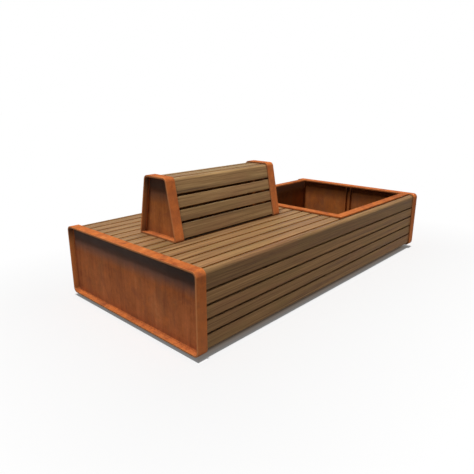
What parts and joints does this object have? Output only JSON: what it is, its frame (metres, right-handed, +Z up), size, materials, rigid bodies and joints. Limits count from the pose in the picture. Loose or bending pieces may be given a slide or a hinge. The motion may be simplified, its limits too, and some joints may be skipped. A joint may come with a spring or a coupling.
{
  "type": "bench with planter",
  "caption": "Low box bench of timber boards between two bent weathering-steel end frames, with a two-sided tapered backrest and a steel planter let into one end.",
  "frame": {"origin": "on the ground, at the centre of the bench's footprint", "axes": "+X along the bench towards the planter, +Y from the front side to the rear side, +Z up"},
  "size_m": [2.4, 1.14, 0.779],
  "materials": {
    "weathered_steel": "thick flat bar with an even, matt orange-brown rust skin, paler on top and darker on the upright faces",
    "weathered_sheet": "steel sheet with a matt rust skin, streaked upright in red-brown and olive-brown where water has run",
    "timber": "oiled, lightly weathered hardwood boards, grain along the board, tones that differ from board to board",
    "galvanised_steel": "dull hot-dip galvanised flat bar and box tube, out of sight under the boards",
    "foot_rubber": "black moulded levelling feet"
  },
  "bodies": {
    "root": {"end_frame_left": "weathered_steel", "end_frame_right": "weathered_steel", "end_panel_left": "weathered_sheet", "end_panel_right": "weathered_sheet", "seat_slat_01": "timber", "seat_slat_02": "timber", "seat_slat_03": "timber", "seat_slat_04": "timber", "seat_slat_05": "timber", "seat_slat_06": "timber", "seat_slat_07": "timber", "seat_slat_08": "timber", "seat_slat_09": "timber", "seat_slat_10": "timber", "seat_slat_11": "timber", "seat_slat_12": "timber", "seat_slat_13": "timber", "seat_slat_14": "timber", "corner_board_front": "timber", "corner_board_rear": "timber", "side_slat_front_1": "timber", "side_slat_front_2": "timber", "side_slat_front_3": "timber", "side_slat_rear_1": "timber", "side_slat_rear_2": "timber", "side_slat_rear_3": "timber", "bottom_board_front": "timber", "bottom_board_rear": "timber", "backrest_frame_left": "weathered_steel", "backrest_frame_right": "weathered_steel", "backrest_panel_left": "weathered_sheet", "backrest_panel_right": "weathered_sheet", "backrest_cap_front": "timber", "backrest_cap_rear": "timber", "backrest_top_board": "timber", "backrest_slat_front_1": "timber", "backrest_slat_front_2": "timber", "backrest_slat_rear_1": "timber", "backrest_slat_rear_2": "timber", "backrest_bottom_board_front": "timber", "backrest_bottom_board_rear": "timber", "planter_rim": "weathered_steel", "planter_floor": "weathered_sheet", "planter_wall_front": "weathered_sheet", "planter_wall_rear": "weathered_sheet", "planter_wall_left": "weathered_sheet", "planter_wall_right": "weathered_sheet", "support_frame_1": "galvanised_steel", "support_frame_2": "galvanised_steel", "support_frame_3": "galvanised_steel", "end_ledge_left": "galvanised_steel", "end_ledge_right": "galvanised_steel", "base_rail_front": "galvanised_steel", "base_rail_rear": "galvanised_steel", "foot_front_left": "foot_rubber", "foot_front_middle": "foot_rubber", "foot_front_right": "foot_rubber", "foot_rear_left": "foot_rubber", "foot_rear_middle": "foot_rubber", "foot_rear_right": "foot_rubber"}
  },
  "joints": []
}
